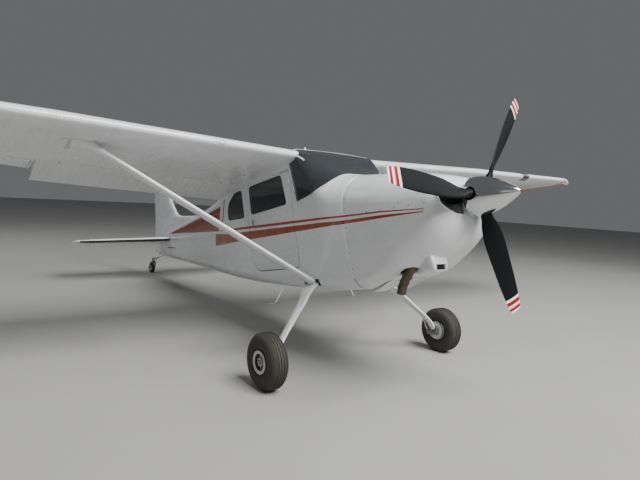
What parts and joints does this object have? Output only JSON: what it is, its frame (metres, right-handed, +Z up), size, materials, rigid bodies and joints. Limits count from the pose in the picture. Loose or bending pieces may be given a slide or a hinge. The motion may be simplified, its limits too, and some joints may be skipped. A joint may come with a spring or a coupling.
{
  "type": "light aircraft",
  "caption": "High-wing strut-braced light aircraft with tailwheel gear, nose propeller, cabin doors, flaps, ailerons, rudder and trimmable tailplane.",
  "frame": {"origin": "on the ground, at the middle of the footprint of the parked aircraft", "axes": "+X towards the nose, +Y towards the left wing tip, +Z up; the airframe is pitched 11.5 degrees nose up as it parks"},
  "size_m": [8.0122, 10.94, 2.6167],
  "materials": {
    "white_paint": "gloss white enamel over riveted aluminium sheet, with orange and dark red stripes",
    "window_glass": "tinted acrylic",
    "tyre_rubber": "dusty black rubber",
    "bare_alloy": "polished and cast aluminium",
    "dark_steel": "steel, heat stained on the exhaust",
    "black_paint": "satin black paint with white and red tip bands",
    "cabin_trim": "dark grey cabin trim",
    "seat_cloth": "grey brown seat cloth"
  },
  "bodies": {
    "airframe": {"cabin_shell": "white_paint", "upper_cowl": "white_paint", "lower_cowl": "white_paint", "tail_cone": "white_paint", "fin": "white_paint", "wing_left": "white_paint", "wing_right": "white_paint", "wing_tip_left": "white_paint", "wing_tip_right": "white_paint", "wing_strut_left": "white_paint", "wing_strut_right": "white_paint", "gear_leg_left": "white_paint", "gear_leg_right": "white_paint", "intake_scoop": "white_paint", "windscreen": "window_glass", "rear_window_left": "window_glass", "rear_window_right": "window_glass", "landing_light": "window_glass", "pitot_mast": "bare_alloy", "firewall": "dark_steel", "engine": "dark_steel", "tail_spring": "dark_steel", "exhaust": "dark_steel", "boarding_step_left": "dark_steel", "boarding_step_right": "dark_steel", "cabin_floor": "cabin_trim", "instrument_panel": "cabin_trim", "seat_front_left": "seat_cloth", "seat_front_right": "seat_cloth", "seat_rear": "seat_cloth"},
    "propeller": {"propeller": "black_paint", "spinner": "bare_alloy"},
    "wheel_left": {"tyre_left": "tyre_rubber", "wheel_hub_left": "bare_alloy"},
    "wheel_right": {"tyre_right": "tyre_rubber", "wheel_hub_right": "bare_alloy"},
    "tail_fork": {"tail_fork": "dark_steel"},
    "tail_wheel": {"tail_tyre": "tyre_rubber", "tail_wheel_hub": "bare_alloy"},
    "rudder": {"rudder": "white_paint"},
    "stabiliser": {"stabiliser": "white_paint"},
    "elevator": {"elevator": "white_paint"},
    "aileron_left": {"aileron_left": "white_paint"},
    "aileron_right": {"aileron_right": "white_paint"},
    "flap_left": {"flap_left": "white_paint"},
    "flap_right": {"flap_right": "white_paint"},
    "door_left": {"cabin_door_left": "white_paint", "door_window_left": "window_glass"},
    "door_right": {"cabin_door_right": "white_paint", "door_window_right": "window_glass"},
    "cowl_flap_left": {"cowl_flap_left": "white_paint"},
    "cowl_flap_right": {"cowl_flap_right": "white_paint"}
  },
  "joints": [
    {"name": "propeller_spin", "type": "hinge", "parent": "airframe", "child": "propeller", "pos_m": [3.66397, 0, 1.75734], "axis": [0.989, 0, 0.1478], "continuous": true},
    {"name": "wheel_left_spin", "type": "hinge", "parent": "airframe", "child": "wheel_left", "pos_m": [2.47758, 1.17, 0.24644], "axis": [0, 1, 0], "continuous": true},
    {"name": "wheel_right_spin", "type": "hinge", "parent": "airframe", "child": "wheel_right", "pos_m": [2.47758, -1.17, 0.24644], "axis": [0, 1, 0], "continuous": true},
    {"name": "tail_fork_swivel", "type": "hinge", "parent": "airframe", "child": "tail_fork", "pos_m": [-3.83442, 0, 0.242], "axis": [0.1644, 0, 0.9864], "continuous": true},
    {"name": "tail_wheel_spin", "type": "hinge", "parent": "tail_fork", "child": "tail_wheel", "pos_m": [-3.90242, 0, 0.10371], "axis": [0, 1, 0], "continuous": true},
    {"name": "rudder_turn", "type": "hinge", "parent": "airframe", "child": "rudder", "pos_m": [-3.34998, 0, 1.17121], "axis": [-0.1994, 0, 0.9799], "range_deg": [-24, 24]},
    {"name": "stabiliser_trim", "type": "hinge", "parent": "airframe", "child": "stabiliser", "pos_m": [-3.06312, 0, 0.71423], "axis": [0, 1, 0], "range_deg": [-0.75, 8]},
    {"name": "elevator_turn", "type": "hinge", "parent": "stabiliser", "child": "elevator", "pos_m": [-3.16601, 0, 0.6933], "axis": [0, 1, 0], "range_deg": [-24, 26]},
    {"name": "aileron_left_turn", "type": "hinge", "parent": "airframe", "child": "aileron_left", "pos_m": [0.75409, 3.95, 2.03734], "axis": [0.1004, 0.993, 0.0617], "range_deg": [-14, 20]},
    {"name": "aileron_right_turn", "type": "hinge", "parent": "airframe", "child": "aileron_right", "pos_m": [0.75409, -3.95, 2.03734], "axis": [-0.1004, 0.993, -0.0617], "range_deg": [-14, 20]},
    {"name": "flap_left_turn", "type": "hinge", "parent": "airframe", "child": "flap_left", "pos_m": [0.72251, 1.65, 1.8413], "axis": [0.0109, -0.9988, -0.0484], "range_deg": [-15, 25]},
    {"name": "flap_right_turn", "type": "hinge", "parent": "airframe", "child": "flap_right", "pos_m": [0.72251, -1.65, 1.8413], "axis": [-0.0109, -0.9988, 0.0484], "range_deg": [-15, 25]},
    {"name": "door_left_swing", "type": "hinge", "parent": "airframe", "child": "door_left", "pos_m": [1.88892, 0.50548, 1.13495], "axis": [0.1989, -0.068, -0.9777], "range_deg": [0, 72]},
    {"name": "door_right_swing", "type": "hinge", "parent": "airframe", "child": "door_right", "pos_m": [1.88892, -0.50548, 1.13495], "axis": [-0.1989, -0.068, 0.9777], "range_deg": [0, 72]},
    {"name": "cowl_flap_left_turn", "type": "hinge", "parent": "airframe", "child": "cowl_flap_left", "pos_m": [3.01887, 0, 1.01074], "axis": [0, -1, 0], "range_deg": [-6, 18]},
    {"name": "cowl_flap_right_turn", "type": "hinge", "parent": "airframe", "child": "cowl_flap_right", "pos_m": [3.01887, 0, 1.01074], "axis": [0, -1, 0], "range_deg": [-6, 18]}
  ],
  "couplings": [
    {"joint": "flap_right_turn", "follows": "flap_left_turn", "ratio": 1},
    {"joint": "cowl_flap_right_turn", "follows": "cowl_flap_left_turn", "ratio": 1}
  ]
}
